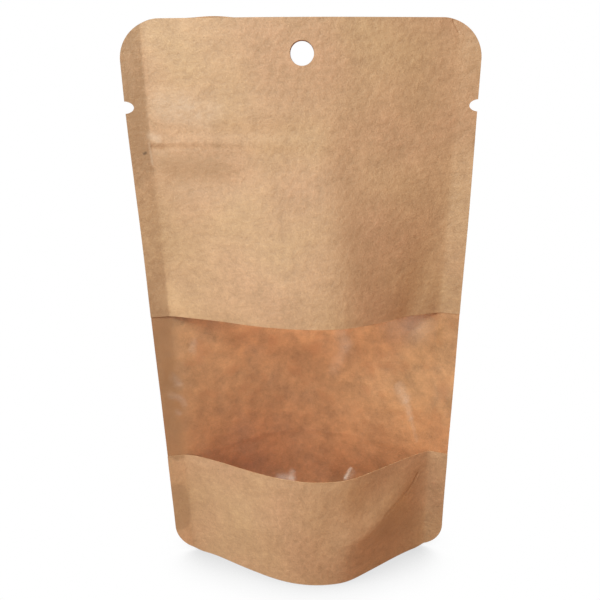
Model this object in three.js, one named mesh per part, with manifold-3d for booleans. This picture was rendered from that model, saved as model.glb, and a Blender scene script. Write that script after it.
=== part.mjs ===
// A kraft stand-up pouch with a clear window band across its front. It is empty, stands on its
// opened bottom gusset, and its zip and mouth are slightly parted.
//
// Two webs are sealed together along both sides. The front web is kraft above and below, with
// a band of clear film between; the back web is kraft all over. A third web, the gusset, is
// sealed inside both along a curve and arches up between them, so that the bottom opens into
// a lens and the pouch stands. A press-to-close zip runs across under the tear notches, and a
// round hole near the top edge takes a peg.
//
// Millimetres, +Z up. X runs across the pouch and the front faces -Y. The origin lies on the
// surface the pouch stands on, under its middle. On a web, s is measured across from its
// centre line along the flat paper, and t is the height.

import * as THREE from "three";
import { mergeVertices } from "three/addons/utils/BufferGeometryUtils.js";
import Module from "manifold-3d";

const wasm = await Module();
wasm.setup();

const { smoothstep, lerp, clamp } = THREE.MathUtils;

// The flat pouch
const WIDTH = 120;
const HEIGHT = 200;
const TOP_CORNER_RADIUS = 13.5;
const BOTTOM_CORNER_RADIUS = 11.5;
const SIDE_SEAL = 7;
const WINDOW_BOTTOM = 42;
const WINDOW_TOP = 98.5;
const HOLE_RADIUS = 4;
const HOLE_HEIGHT = 189;
const NOTCH_HEIGHT = 172;
const NOTCH_HALF_HEIGHT = 2;
const NOTCH_DEPTH = 2.8;

// Layers. Sheets that are sealed to each other keep a gap between their solids.
const KRAFT = 0.4;
const FILM = 0.25;
const GAP = 0.3;

// How far each web stands out from the middle, as [height, bow].
const BOW = [
  [0, 23.4],
  [WINDOW_BOTTOM, 22.2],
  [WINDOW_TOP, 18.2],
  [130, 10.4],
  [160, 4.4],
  [HEIGHT, 4.2],
];
const SECTION_POWER = 1.45; // roundness of a section: 1 is a cosine arch, 2 has long flat tails

// How much of the flat width the bow takes up, as [height, width lost].
const DRAWN_IN = [
  [0, 14.9],
  [45, 12.1],
  [100, 8],
  [141, 4.4],
  [170, 2],
  [HEIGHT, 0.7],
];

// The gusset
const GUSSET_DEPTH = 40; // folded depth, at the side seals
const GUSSET_SEAL_LOW = 15; // lowest point of the curved seal, at the middle
const GUSSET_REACH = 49; // half width of its free sheet, between the side seals
const GUSSET_SLACK = 0.95; // straight length of an arched leaf, as a share of its paper
const GUSSET_ARCH = 1.6; // roundness of its fold
const SEAL_PUFF = 2.2; // the webs swell along the curved seal, on both flanks
const SEAL_PUFF_RISE = 9;

// The zip: two strips with flanges, one on each web
const ZIP_HEIGHT = 160;
const ZIP_REACH = 49;
const ZIP_FLANGE_UP = 8;
const ZIP_FLANGE_DOWN = 6;
const ZIP_FLANGE = 0.35;
const ZIP_RIB = 0.95; // how far its hooks and bead stand up from the flange
const ZIP_FLANGE_SHOWS = 0.35; // how far the paper lifts over the flange, and over the ribs
const ZIP_RIBS_SHOW = 0.6;
const RIB_SHOULDER = [1.5, 3.5]; // where that lift falls off, above and below the ribs

// Ridge of each web as [height, offset from its centre line], and its buckles: soft furrows
// from one point to another, which take away a share of the bow.
const FRONT = {
  outward: -1,
  ridge: [
    [0, 4],
    [WINDOW_BOTTOM, 5.5],
    [HEIGHT, 3],
  ],
  buckles: [{ from: [50, 125], to: [41, 98], half: 6, share: 0.3 }],
};
const BACK = {
  outward: 1,
  ridge: [
    [0, -2],
    [WINDOW_BOTTOM, -3.5],
    [HEIGHT, -1],
  ],
  buckles: [{ from: [-51, 122], to: [-30, 92], half: 8, share: 0.35 }],
};

const SEAL_IN = WIDTH / 2 - SIDE_SEAL;

// ---- The form of a web ----

// A smooth curve through [place, value] points, level at both ends.
function curveThrough(points) {
  const slope = (i) => {
    if (i === 0 || i === points.length - 1) return 0;
    const [before, , after] = points.slice(i - 1, i + 2);
    return (after[1] - before[1]) / (after[0] - before[0]);
  };
  return (place) => {
    const at = clamp(place, points[0][0], points.at(-1)[0]);
    const i = Math.max(1, points.findIndex(([end]) => at <= end));
    const [[start, a], [end, b]] = points.slice(i - 1, i + 1);
    const length = end - start;
    const k = (at - start) / length;
    const pull = slope(i - 1) * (1 - k) ** 2 * k - slope(i) * k ** 2 * (1 - k);
    return lerp(a, b, k * k * (3 - 2 * k)) + length * pull;
  };
}

const bowAtHeight = curveThrough(BOW);
const drawnInAtHeight = curveThrough(DRAWN_IN);
for (const web of [FRONT, BACK]) web.ridgeAt = curveThrough(web.ridge);

// A bowed web spans less than its own width, so the side seals draw in towards the bottom.
const widthShare = (t) => 1 - drawnInAtHeight(t) / WIDTH;

// Distance from the ridge, as a share of the way to the side seal.
function flankShare(web, s, t) {
  const ridge = web.ridgeAt(t);
  const reach = s > ridge ? SEAL_IN - ridge : SEAL_IN + ridge;
  return Math.min(1, Math.abs(s - ridge) / reach);
}

// Height of the gusset's curved seal: a circular arc, lowest at the middle.
function gussetSeal(s) {
  const rise = GUSSET_DEPTH - GUSSET_SEAL_LOW;
  const radius = (SEAL_IN ** 2 + rise ** 2) / (2 * rise);
  const across = Math.min(Math.abs(s), SEAL_IN);
  return GUSSET_SEAL_LOW + radius - Math.sqrt(radius ** 2 - across ** 2);
}

// Share of the bow that is left beside a buckle.
function buckled(web, s, t) {
  const here = new THREE.Vector3(s, t, 0);
  return web.buckles.reduce((left, { from, to, half, share }) => {
    const furrow = new THREE.Line3(new THREE.Vector3(...from), new THREE.Vector3(...to));
    const nearest = furrow.closestPointToPoint(here, true, new THREE.Vector3());
    return left * (1 - share * Math.exp(-((nearest.distanceTo(here) / half) ** 2)));
  }, 1);
}

// How far a web stands out from its flat lie. Just above the curved seal both flanks swell,
// and below it, where two layers are sealed together, they run straight to the bottom edge.
function bow(web, s, t) {
  const flank = flankShare(web, s, t);
  const section = Math.cos((flank * Math.PI) / 2) ** SECTION_POWER;
  const swell = Math.sin(Math.PI * flank) ** 2;
  const seal = gussetSeal(s);
  const near = t < seal ? t / seal : Math.exp(-(((t - seal) / SEAL_PUFF_RISE) ** 2));
  return bowAtHeight(t) * section * buckled(web, s, t) + SEAL_PUFF * swell * near;
}

// The zip lifts the paper: a low step for the flange and a ridge for the ribs.
function zipLift(s, t) {
  const up = t - ZIP_HEIGHT;
  const step =
    smoothstep(up, -ZIP_FLANGE_DOWN - 1.5, -ZIP_FLANGE_DOWN) *
    (1 - smoothstep(up, ZIP_FLANGE_UP, ZIP_FLANGE_UP + 1.5));
  const ribs = 1 - smoothstep(Math.abs(up), ...RIB_SHOULDER);
  const inside = 1 - smoothstep(Math.abs(s), ZIP_REACH, SEAL_IN);
  return (ZIP_FLANGE_SHOWS * step + ZIP_RIBS_SHOW * ribs) * inside;
}

// Y of a web's outer face, or of a layer that lies that far inwards from it.
function webY(web, s, t, inwards = 0) {
  return web.outward * (GAP / 2 + KRAFT + bow(web, s, t) + zipLift(s, t) - inwards);
}

// ---- Sheets ----

// A thin closed solid on a grid. place(s, t, face) gives each corner as [x, y, z]; face 0 is
// the one that looks to -Y where the sheet stands upright. Both faces are split alike.
function sheet(columns, rows, place) {
  const wide = columns.length;
  const high = rows.length;
  const positions = [0, 1].flatMap((face) =>
    rows.flatMap((t) => columns.flatMap((s) => place(s, t, face))),
  );
  const corner = (i, j) => j * wide + i;
  const other = (id) => id + wide * high;
  const index = [];
  const both = (a, b, c) => index.push(a, b, c, other(a), other(c), other(b));
  for (let j = 0; j < high - 1; j += 1) {
    for (let i = 0; i < wide - 1; i += 1) {
      const [a, b] = [corner(i, j), corner(i + 1, j)];
      const [c, d] = [corner(i + 1, j + 1), corner(i, j + 1)];
      both(a, b, c);
      both(a, c, d);
    }
  }
  const run = (count, id) => Array.from({ length: count - 1 }, (_, k) => id(k));
  const rim = [
    ...run(wide, (k) => corner(k, 0)),
    ...run(high, (k) => corner(wide - 1, k)),
    ...run(wide, (k) => corner(wide - 1 - k, high - 1)),
    ...run(high, (k) => corner(0, high - 1 - k)),
  ];
  rim.forEach((p, k) => {
    const q = rim[(k + 1) % rim.length];
    index.push(q, p, other(p), q, other(p), other(q));
  });
  const geometry = new THREE.BufferGeometry();
  geometry.setAttribute("position", new THREE.Float32BufferAttribute(positions, 3));
  geometry.setIndex(index);
  return geometry;
}

// Evenly spaced grid lines from one place up to the next, without the last.
const lines = (from, to, cells) =>
  Array.from({ length: cells }, (_, k) => lerp(from, to, k / cells));
const mirrored = (half) => [...half.slice(1).map((x) => -x).reverse(), ...half];

const COLUMNS = mirrored([...lines(0, 44, 7), 44, 48.5, SEAL_IN, WIDTH / 2]);
const LOW_ROWS = lines(0, WINDOW_BOTTOM, 10);
const WINDOW_ROWS = lines(WINDOW_BOTTOM, WINDOW_TOP, 10);
const HIGH_ROWS = lines(WINDOW_TOP, 150, 10);
const ZIP_ROWS = [150, 152.5, 154, 156.5, 158.5, 161.5, 163.5, 168, 169.5];
const TOP_ROWS = [...lines(175, HEIGHT, 4), HEIGHT];

// A web's sheet. A thinner one, of film, lies in the middle of the kraft's thickness.
function webSheet(web, rows, thickness) {
  const inset = (KRAFT - thickness) / 2;
  return sheet(COLUMNS, rows, (s, t, face) => {
    const outer = face === (web.outward < 0 ? 0 : 1);
    const y = webY(web, s, t, outer ? inset : inset + thickness);
    return [s * widthShare(t), y, t];
  });
}

// The gusset runs up inside the front web to the curved seal, arches over, and runs down
// inside the back web. v counts along it: 0 front edge, 1 seal, 2 fold, 3 seal, 4 back edge.
function gussetPath(s, v) {
  const web = v < 2 ? FRONT : BACK;
  const leaf = v < 2 ? v : 4 - v;
  const seal = gussetSeal(s);
  const inside = (t) => webY(web, s, t, 1.5 * KRAFT + GAP);
  if (leaf <= 1) return new THREE.Vector2(inside(leaf * seal), leaf * seal);
  const straight = GUSSET_SLACK * (GUSSET_DEPTH - seal);
  const rise = Math.sqrt(Math.max(0, straight ** 2 - inside(seal) ** 2));
  const away = 2 - leaf;
  return new THREE.Vector2(inside(seal) * away, seal + rise * (1 - away ** GUSSET_ARCH));
}

function gussetSheet() {
  const columns = mirrored([...lines(0, 44, 7), 44, GUSSET_REACH]);
  const half = [0, 0.35, 0.7, 1, 1.12, 1.3, 1.5, 1.7, 1.88];
  const rows = [...half, 2, ...half.map((v) => 4 - v).reverse()];
  const step = 0.02;
  return sheet(columns, rows, (s, v, face) => {
    const here = gussetPath(s, v);
    const from = v > 0 ? here.clone().sub(gussetPath(s, v - step)) : new THREE.Vector2();
    const to = v < 4 ? gussetPath(s, v + step).sub(here) : new THREE.Vector2();
    const along = from.normalize().add(to.normalize()).normalize();
    const side = (face === 0 ? 0.5 : -0.5) * KRAFT;
    const z = v > 0 && v < 4 ? here.y + side * along.x : 0;
    return [s * widthShare(here.y), here.x - side * along.y, z];
  });
}

// ---- Cuts ----

function toManifold(geometry) {
  const { index, attributes } = geometry;
  const vertProperties = Float32Array.from(attributes.position.array);
  const triVerts = Uint32Array.from(index.array);
  return new wasm.Manifold(new wasm.Mesh({ numProp: 3, vertProperties, triVerts }));
}

function fromManifold(solid) {
  const { vertProperties, triVerts } = solid.getMesh();
  const geometry = new THREE.BufferGeometry();
  geometry.setAttribute("position", new THREE.BufferAttribute(vertProperties, 3));
  geometry.setIndex(new THREE.BufferAttribute(triVerts, 1));
  return geometry;
}

// Leaves only positions, so that corners shared by faces become one vertex.
function welded(geometry) {
  geometry.deleteAttribute("normal");
  geometry.deleteAttribute("uv");
  return mergeVertices(geometry, 1e-4);
}

// A cutter is a flat outline in X and Z, run right through the pouch along Y.
function cutter(outline) {
  const depth = 4 * BOW[0][1];
  const prism = new THREE.ExtrudeGeometry(outline, { depth, bevelEnabled: false });
  prism.translate(0, 0, -depth / 2);
  prism.rotateX(Math.PI / 2);
  return toManifold(welded(prism));
}

function cut(geometry, cutters) {
  return fromManifold(
    cutters.reduce((solid, tool) => solid.subtract(tool), toManifold(geometry)),
  );
}

// What lies outside a rounded corner. right and up are 1 or -1. The arc ends a hair outside
// the sheet, so that no cut runs along its very edge.
function cornerCutter(right, up) {
  const steps = 8;
  const beyond = 3;
  const hair = 0.03;
  const radius = up > 0 ? TOP_CORNER_RADIUS : BOTTOM_CORNER_RADIUS;
  const edge = (WIDTH / 2) * widthShare(up > 0 ? HEIGHT : 0) + hair;
  const level = (up > 0 ? HEIGHT : 0) + up * hair;
  const [x, z] = [edge - radius, level - up * radius];
  const outline = new THREE.Shape();
  outline.moveTo(right * x, level + up * beyond);
  for (let i = 0; i <= steps; i += 1) {
    const turn = (Math.PI / 2) * (1 - i / steps);
    const out = radius * Math.cos(turn);
    outline.lineTo(right * (x + out), z + up * radius * Math.sin(turn));
  }
  outline.lineTo(right * (edge + beyond), z);
  outline.lineTo(right * (edge + beyond), level + up * beyond);
  return cutter(outline);
}

function roundCutter(x, z, halfWidth, halfHeight, sides) {
  const outline = new THREE.Shape();
  for (let i = 0; i < sides; i += 1) {
    const turn = (2 * Math.PI * i) / sides;
    const draw = i === 0 ? "moveTo" : "lineTo";
    outline[draw](x + halfWidth * Math.cos(turn), z + halfHeight * Math.sin(turn));
  }
  return cutter(outline);
}

const SIDES = [-1, 1];
const topCorners = SIDES.map((right) => cornerCutter(right, 1));
const bottomCorners = SIDES.map((right) => cornerCutter(right, -1));
const notches = SIDES.map((right) => {
  const beyond = 0.5;
  const edge = right * ((WIDTH / 2) * widthShare(NOTCH_HEIGHT) + beyond);
  return roundCutter(edge, NOTCH_HEIGHT, NOTCH_DEPTH + beyond, NOTCH_HALF_HEIGHT, 16);
});
const hangHole = roundCutter(0, HOLE_HEIGHT, HOLE_RADIUS, HOLE_RADIUS, 24);
const topCuts = [...topCorners, ...notches, hangHole];

// ---- The zip ----

// Half of each section as [distance inwards from the web, height]; the other half mirrors it.
const HOOKS = [
  [ZIP_FLANGE, 2.1],
  [ZIP_FLANGE + ZIP_RIB, 2.1],
  [ZIP_FLANGE + ZIP_RIB, 0.9],
  [ZIP_FLANGE + 0.6, 0.9],
  [ZIP_FLANGE + 0.6, 1.5],
  [ZIP_FLANGE, 1.5],
];
const BEAD = [
  [ZIP_FLANGE, 0.4],
  [ZIP_FLANGE + 0.4, 0.4],
  [ZIP_FLANGE + 0.4, 0.8],
  [ZIP_FLANGE + ZIP_RIB, 0.5],
];

const mirroredDown = (points) => points.map(([inwards, up]) => [inwards, -up]).reverse();

// A strip follows the inside of its web from side seal to side seal.
function zipStrip(web, section) {
  const shoulder = RIB_SHOULDER.map((up) => [0, up]);
  const outline = new THREE.Shape(
    [
      ...shoulder,
      [0, ZIP_FLANGE_UP],
      [ZIP_FLANGE, ZIP_FLANGE_UP],
      ...section,
      ...mirroredDown(section),
      [ZIP_FLANGE, -ZIP_FLANGE_DOWN],
      [0, -ZIP_FLANGE_DOWN],
      ...mirroredDown(shoulder),
    ].map(([inwards, up]) => new THREE.Vector2(inwards, up)),
  );
  const strip = welded(
    new THREE.ExtrudeGeometry(outline, { depth: 1, steps: 16, bevelEnabled: false }),
  );
  const corners = strip.getAttribute("position");
  for (let i = 0; i < corners.count; i += 1) {
    const s = lerp(-ZIP_REACH, ZIP_REACH, corners.getZ(i));
    const t = ZIP_HEIGHT + corners.getY(i);
    const y = webY(web, s, t, KRAFT + GAP + corners.getX(i));
    corners.setXYZ(i, s * widthShare(t), y, t);
  }
  // The back strip is a mirror image, so its faces are turned round again.
  if (web === BACK) strip.getIndex().array.reverse();
  return strip;
}

// ---- The pouch ----

const kraft = { color: "#cfa57c", roughness: 0.78, metalness: 0 };
const film = {
  color: "#f4f1ea",
  roughness: 0.12,
  metalness: 0,
  transparent: true,
  opacity: 0.25,
};
const zipPlastic = { color: "#ece7dc", roughness: 0.35, metalness: 0 };

const pouch = new THREE.Group();

function add(name, geometry, finish) {
  const mesh = new THREE.Mesh(geometry, new THREE.MeshStandardMaterial(finish));
  mesh.name = name;
  geometry.computeVertexNormals();
  pouch.add(mesh);
}

const lowerRows = [...LOW_ROWS, WINDOW_BOTTOM - GAP / 2];
const filmRows = [WINDOW_BOTTOM + GAP / 2, ...WINDOW_ROWS.slice(1), WINDOW_TOP - GAP / 2];
const upperRows = [WINDOW_TOP + GAP / 2, ...HIGH_ROWS.slice(1), ...ZIP_ROWS, ...TOP_ROWS];
const backRows = [...LOW_ROWS, ...WINDOW_ROWS, ...HIGH_ROWS, ...ZIP_ROWS, ...TOP_ROWS];

add("front_upper", cut(webSheet(FRONT, upperRows, KRAFT), topCuts), kraft);
add("window_film", webSheet(FRONT, filmRows, FILM), film);
add("front_lower", cut(webSheet(FRONT, lowerRows, KRAFT), bottomCorners), kraft);
add("back_panel", cut(webSheet(BACK, backRows, KRAFT), [...topCuts, ...bottomCorners]), kraft);
add("bottom_gusset", cut(gussetSheet(), bottomCorners), kraft);
add("zip_front", zipStrip(FRONT, HOOKS), zipPlastic);
add("zip_back", zipStrip(BACK, BEAD), zipPlastic);

export default pouch;
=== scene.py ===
import math

import bpy
import numpy as np
from bpy.props import FloatProperty, FloatVectorProperty, PointerProperty
from mathutils import Matrix, Vector


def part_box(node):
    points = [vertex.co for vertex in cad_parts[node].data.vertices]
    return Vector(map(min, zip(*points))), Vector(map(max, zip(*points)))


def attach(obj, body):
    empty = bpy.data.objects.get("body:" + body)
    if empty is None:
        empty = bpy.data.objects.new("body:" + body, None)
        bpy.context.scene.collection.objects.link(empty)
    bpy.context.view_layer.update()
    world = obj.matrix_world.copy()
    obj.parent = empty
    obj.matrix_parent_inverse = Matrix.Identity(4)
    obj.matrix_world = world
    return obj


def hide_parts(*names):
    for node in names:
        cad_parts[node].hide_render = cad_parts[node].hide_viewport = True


bl_info = {
    "name": "Kraft stand-up pouch",
    "version": (1, 0, 0),
    "blender": (4, 5, 0),
    "location": "3D View > Sidebar > Pouch",
    "description": "An empty kraft paper stand-up pouch with a clear window band, in a pale studio",
    "category": "Add Mesh",
}

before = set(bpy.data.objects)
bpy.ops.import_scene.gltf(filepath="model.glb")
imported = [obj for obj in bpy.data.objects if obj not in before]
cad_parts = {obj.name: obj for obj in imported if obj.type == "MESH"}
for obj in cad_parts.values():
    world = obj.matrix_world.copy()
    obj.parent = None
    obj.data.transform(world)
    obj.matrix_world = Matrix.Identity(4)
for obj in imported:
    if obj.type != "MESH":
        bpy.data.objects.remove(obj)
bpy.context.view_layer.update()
PICTURE_PIXELS = 600

# Lengths are in metres. On a web, s is measured across from its centre line along the flat
# paper, and t is the height. The front faces -Y.

# How far each web stands out from the middle, as (height, bow).
BOW = [
    (0.0, 0.0234),
    (0.0420, 0.0222),
    (0.0985, 0.0182),
    (0.1300, 0.0104),
    (0.1600, 0.0044),
    (0.2000, 0.0042),
]
# How much of the flat width the bow takes up, as (height, width lost).
DRAWN_IN = [
    (0.0, 0.0149),
    (0.0450, 0.0121),
    (0.1000, 0.0080),
    (0.1410, 0.0044),
    (0.1700, 0.0020),
    (0.2000, 0.0007),
]
SECTION_POWER = 1.45  # roundness of a section: 1 is a cosine arch, 2 has long flat tails
GAP = 0.00002  # between sheets that lie on each other

# The zip's relief in the paper, as (height above the zip's middle, lift).
ZIP_RELIEF = [
    (-0.0120, 0.0),
    (-0.0060, 0.00012),
    (-0.0030, 0.00014),
    (-0.0009, 0.00045),
    (0.0006, 0.00052),
    (0.0030, 0.00028),
    (0.0045, 0.00030),
    (0.0075, 0.00060),
    (0.0095, 0.00064),
    (0.0150, 0.00025),
    (0.0200, 0.0),
]


class PouchSizes(bpy.types.PropertyGroup):
    """Sizes of the flat pouch and its layers"""

    width: FloatProperty(
        name="Width", description="Width of the flat pouch", default=0.120, unit="LENGTH"
    )
    height: FloatProperty(
        name="Height",
        description="Height of the flat pouch",
        default=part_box("back_panel")[1].z,
        unit="LENGTH",
    )
    side_seal: FloatProperty(
        name="Side seal", description="Width of each side seal", default=0.007, unit="LENGTH"
    )
    top_radius: FloatProperty(
        name="Top radius", description="Radius of the top corners", default=0.0135, unit="LENGTH"
    )
    bottom_radius: FloatProperty(
        name="Bottom radius",
        description="Radius of the bottom corners",
        default=0.0115,
        unit="LENGTH",
    )
    window_bottom: FloatProperty(
        name="Window bottom",
        description="Height of the window's lower edge",
        default=0.042,
        unit="LENGTH",
    )
    window_top: FloatProperty(
        name="Window top",
        description="Height of the window's upper edge",
        default=0.0985,
        unit="LENGTH",
    )
    hole_radius: FloatProperty(
        name="Hole radius", description="Radius of the hang hole", default=0.004, unit="LENGTH"
    )
    hole_height: FloatProperty(
        name="Hole height",
        description="Height of the hang hole's middle",
        default=0.189,
        unit="LENGTH",
    )
    notch_height: FloatProperty(
        name="Notch height", description="Height of the tear notches", default=0.172, unit="LENGTH"
    )
    notch_depth: FloatProperty(
        name="Notch depth", description="Depth of a tear notch", default=0.0028, unit="LENGTH"
    )
    notch_half_height: FloatProperty(
        name="Notch half height",
        description="Half the opening of a tear notch",
        default=0.002,
        unit="LENGTH",
    )
    gusset_depth: FloatProperty(
        name="Gusset depth",
        description="Folded depth of the bottom gusset",
        default=0.040,
        unit="LENGTH",
    )
    gusset_seal_low: FloatProperty(
        name="Gusset seal, low",
        description="Lowest point of the gusset's curved seal",
        default=0.015,
        unit="LENGTH",
    )
    zip_height: FloatProperty(
        name="Zip height", description="Height of the zip's middle", default=0.160, unit="LENGTH"
    )
    zip_reach: FloatProperty(
        name="Zip reach", description="Half the length of the zip", default=0.0505, unit="LENGTH"
    )
    paper: FloatProperty(
        name="Paper", description="Thickness of the kraft sheet", default=0.00022, unit="LENGTH"
    )
    film: FloatProperty(
        name="Film", description="Thickness of the window film", default=0.00008, unit="LENGTH"
    )
    cell: FloatProperty(
        name="Cell", description="Grid cell of the sheets", default=0.0010, unit="LENGTH"
    )


class PouchColours(bpy.types.PropertyGroup):
    """Colours of the pouch's finishes"""

    kraft: FloatVectorProperty(
        name="Kraft",
        description="Outside of the paper",
        subtype="COLOR",
        default=(0.560, 0.339, 0.171),
    )
    kraft_rosy: FloatVectorProperty(
        name="Kraft, rosy",
        description="Rosier parts of the paper",
        subtype="COLOR",
        default=(0.598, 0.324, 0.178),
    )
    # also the colour of the front's painted shade
    kraft_dark: FloatVectorProperty(
        name="Kraft, dark",
        description="Dark fibres and pressed seals",
        subtype="COLOR",
        default=(0.385, 0.215, 0.107),
    )
    # a pale tint painted for highlights and sheen where the paper would catch the light
    kraft_highlight: FloatVectorProperty(
        name="Kraft, worn",
        description="Paper that handling has smoothed",
        subtype="COLOR",
        default=(0.600, 0.420, 0.290),
    )
    lining: FloatVectorProperty(
        name="Lining",
        description="Inside of the paper, seen through its clear lining",
        subtype="COLOR",
        default=(0.500, 0.250, 0.110),
    )
    lining_ruddy: FloatVectorProperty(
        name="Lining, ruddy",
        description="Redder blots inside the paper",
        subtype="COLOR",
        default=(0.495, 0.200, 0.078),
    )
    # also the colour of the film's painted glints
    film: FloatVectorProperty(
        name="Film", description="Haze of the clear film", subtype="COLOR", default=(0.95, 0.89, 0.80)
    )
    zip_plastic: FloatVectorProperty(
        name="Zip", description="Milky plastic of the zip", subtype="COLOR", default=(0.80, 0.77, 0.71)
    )
    floor: FloatVectorProperty(
        name="Floor", description="Studio floor", subtype="COLOR", default=(0.92, 0.92, 0.92)
    )
    floor_bounce: FloatVectorProperty(
        name="Floor bounce",
        description="Colour of the light that the floor throws back",
        subtype="COLOR",
        default=(0.55, 0.40, 0.29),
    )


# ---- The form of the filled-out pouch ----


def smoothstep(x, low, high):
    k = np.clip((x - low) / (high - low), 0, 1)
    return k * k * (3 - 2 * k)


def curve_through(points):
    """A smooth curve through (place, value) points, level at both ends."""
    places, values = np.array(points, float).T
    slopes = np.zeros(len(places))
    slopes[1:-1] = (values[2:] - values[:-2]) / (places[2:] - places[:-2])

    def at(place):
        place = np.clip(place, places[0], places[-1])
        i = np.clip(np.searchsorted(places, place), 1, len(places) - 1)
        length = places[i] - places[i - 1]
        k = (place - places[i - 1]) / length
        pull = slopes[i - 1] * (1 - k) ** 2 * k - slopes[i] * k**2 * (1 - k)
        return values[i - 1] + (values[i] - values[i - 1]) * k * k * (3 - 2 * k) + length * pull

    return at


def crumple(s, t, size, seed):
    """Smooth seeded noise between -1 and 1, with features of about that size."""
    lattice = np.random.default_rng(seed).uniform(-1, 1, (128, 128))
    u = s / size + 64
    v = t / size + 8
    i = np.floor(u).astype(int)
    j = np.floor(v).astype(int)
    a = smoothstep(u - i, 0, 1)
    b = smoothstep(v - j, 0, 1)
    i, j, right, up = i % 128, j % 128, (i + 1) % 128, (j + 1) % 128
    low = lattice[i, j] * (1 - a) + lattice[right, j] * a
    high = lattice[i, up] * (1 - a) + lattice[right, up] * a
    return low * (1 - b) + high * b


def beside(s, t, start, end):
    """Distance from each point to the line from start to end."""
    ds, dt = end[0] - start[0], end[1] - start[1]
    along = ((s - start[0]) * ds + (t - start[1]) * dt) / max(ds * ds + dt * dt, 1e-12)
    along = np.clip(along, 0, 1)
    return np.hypot(s - start[0] - along * ds, t - start[1] - along * dt)


class Web:
    """One of the two outer sheets. outward is -1 for the front and 1 for the back, and under
    is what lies between it and the seal's middle. ridge runs up its crown as (height, s). A
    buckle (start, end, half width, share) takes away a share of the bow. A stroke (start,
    end, half width, height) is a small crease that stands out, or sinks where its height is
    negative. puff, beside the gusset's seal, and zip_shows each have a value for either side
    of the crown. Its lip (s, half width, height) is where its top edge rises over the other
    web's."""

    def __init__(self, outward, under, ridge, buckles, strokes, puff, zip_shows, lip, seed):
        self.outward = outward
        self.under = under
        self.ridge = curve_through(ridge)
        self.buckles = buckles
        self.strokes = strokes
        self.puff = puff
        self.zip_shows = zip_shows
        self.lip = lip
        self.seed = seed


class Form:
    """Where each point of the flat sheets lies on the filled-out pouch."""

    def __init__(self, sizes):
        self.sizes = sizes
        self.seal_in = sizes.width / 2 - sizes.side_seal
        self.bow_at = curve_through(BOW)
        self.drawn_in_at = curve_through(DRAWN_IN)
        self.zip_relief = curve_through(ZIP_RELIEF)
        self.front = Web(
            outward=-1,
            under=sizes.film + GAP,
            ridge=[(0.0, 0.004), (0.042, 0.0055), (0.200, 0.003)],
            buckles=[((0.050, 0.125), (0.041, 0.098), 0.006, 0.30)],
            strokes=FRONT_STROKES,
            puff=(0.0018, 0.0050),
            zip_shows=(1.0, 0.25),
            lip=(0.0, 0.010, 0.0),
            seed=3,
        )
        self.back = Web(
            outward=1,
            under=0.0,
            ridge=[(0.0, -0.002), (0.042, -0.0035), (0.200, -0.001)],
            buckles=[((-0.051, 0.122), (-0.030, 0.092), 0.008, 0.35)],
            strokes=BACK_STROKES,
            puff=(0.0022, 0.0022),
            zip_shows=(0.9, 0.9),
            lip=(-0.0287, 0.008, 0.0008),
            seed=11,
        )

    def width_share(self, t):
        """A bowed web spans less than its own width, so the side seals draw in."""
        return 1 - self.drawn_in_at(t) / self.sizes.width

    def gusset_seal(self, s):
        """Height of the gusset's curved seal, a circular arc."""
        low = self.sizes.gusset_seal_low
        rise = self.sizes.gusset_depth - low
        radius = (self.seal_in**2 + rise**2) / (2 * rise)
        across = np.minimum(np.abs(s), self.seal_in)
        return low + radius - np.sqrt(radius**2 - across**2)

    def flank(self, web, s, t):
        """Distance from the ridge, as a share of the way to the side seal."""
        ridge = web.ridge(t)
        reach = np.where(s > ridge, self.seal_in - ridge, self.seal_in + ridge)
        return np.minimum(1, np.abs(s - ridge) / reach)

    def bow(self, web, s, t):
        flank = self.flank(web, s, t)
        out = self.bow_at(t) * np.cos(flank * math.pi / 2).clip(0) ** SECTION_POWER
        for start, end, half, share in web.buckles:
            out = out * (1 - share * np.exp(-((beside(s, t, start, end) / half) ** 2)))
        seal = self.gusset_seal(s)
        above = np.exp(-((np.maximum(t - seal, 0) / 0.009) ** 2))
        near = np.where(t < seal, np.clip(t / seal, 0, 1) ** 1.3, above)
        puff = np.where(s < web.ridge(t), *web.puff)
        return out + puff * np.sin(math.pi * flank) ** 2 * near

    def lifts(self, web, s, t):
        """The low relief: the zip, the pressed seals, creases and the paper's own waves."""
        left, right = web.zip_shows
        shows = left + (right - left) * smoothstep(-s * web.outward, -0.010, 0.012)
        inside = 1 - smoothstep(np.abs(s), self.seal_in - 0.002, self.seal_in + 0.0005)
        out = self.zip_relief(t - self.sizes.zip_height) * shows * inside
        for start, end, half, height in web.strokes:
            out = out + height * np.exp(-((beside(s, t, start, end) / half) ** 2))
        free = 1 - smoothstep(np.abs(s), self.seal_in - 0.006, self.seal_in)
        waves = 0.00030 * crumple(s, t, 0.026, web.seed)
        waves = waves + 0.00010 * crumple(s, t, 0.011, web.seed + 1)
        out = out + waves * (0.15 + 0.85 * free)
        return out + 0.00002 * crumple(s, t, 0.0045, web.seed + 2)

    def layers(self, web, t):
        """Half the thickness of a side seal, which holds the gusset's leaf too at the bottom."""
        leaf = 1 - smoothstep(t, self.sizes.gusset_depth - 0.0004, self.sizes.gusset_depth + 0.0004)
        step = self.sizes.paper + GAP
        return self.sizes.paper + web.under + GAP / 2 + step * leaf

    def stand_out(self, web, s, t):
        """How far a web's outer face lies from the seal's middle."""
        return self.layers(web, t) + self.bow(web, s, t) + self.lifts(web, s, t)

    def sway(self, s, t):
        """The side seals turn a little towards the front from the line where they begin,
        the left one most near its top, and they wave along their length."""
        past = np.maximum(np.abs(s) - self.seal_in + 0.0003, 0)
        left = 0.13 + 0.12 * smoothstep(t, 0.035, 0.060) + 0.10 * smoothstep(t, 0.150, 0.180)
        right = 0.38 - 0.26 * smoothstep(t, 0.110, 0.175)
        turn = np.where(s < 0, left, right)
        wave = 0.00030 * np.sin(t / 0.0105 + np.sign(s)) * past / 0.007
        return -(turn * past + wave)

    def put(self, s, y, t):
        return np.column_stack([s * self.width_share(t), y + self.sway(s, t), t])


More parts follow.
